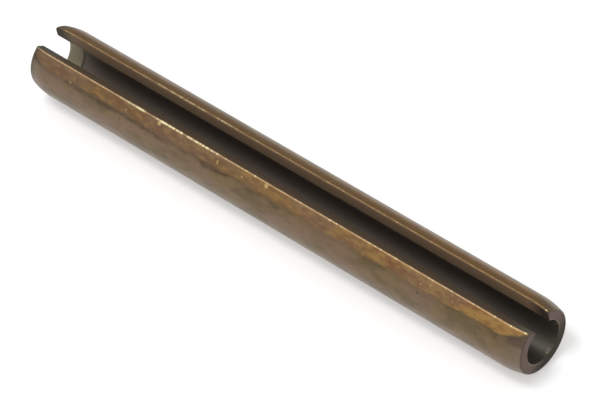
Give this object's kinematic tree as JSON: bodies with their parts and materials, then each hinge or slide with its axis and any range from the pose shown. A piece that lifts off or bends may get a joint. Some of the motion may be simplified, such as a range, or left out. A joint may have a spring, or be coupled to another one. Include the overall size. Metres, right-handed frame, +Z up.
{
  "type": "spring roll pin",
  "caption": "Slotted tubular spring pin: steel strip rolled to a C section, with rounded, drawn-in ends.",
  "frame": {"origin": "on the resting plane, directly under the middle of the pin's axis", "axes": "+X along the pin's axis, +Z up through the slot, +Y towards the side of the slot with the steeper face"},
  "size_m": [0.09, 0.0104, 0.0102],
  "materials": {
    "oxidised_steel": "hardened spring steel left with its bronze-brown heat-treatment oxide, rubbed bright along the slot edges"
  },
  "bodies": {
    "root": {"spring_pin": "oxidised_steel"}
  },
  "joints": []
}
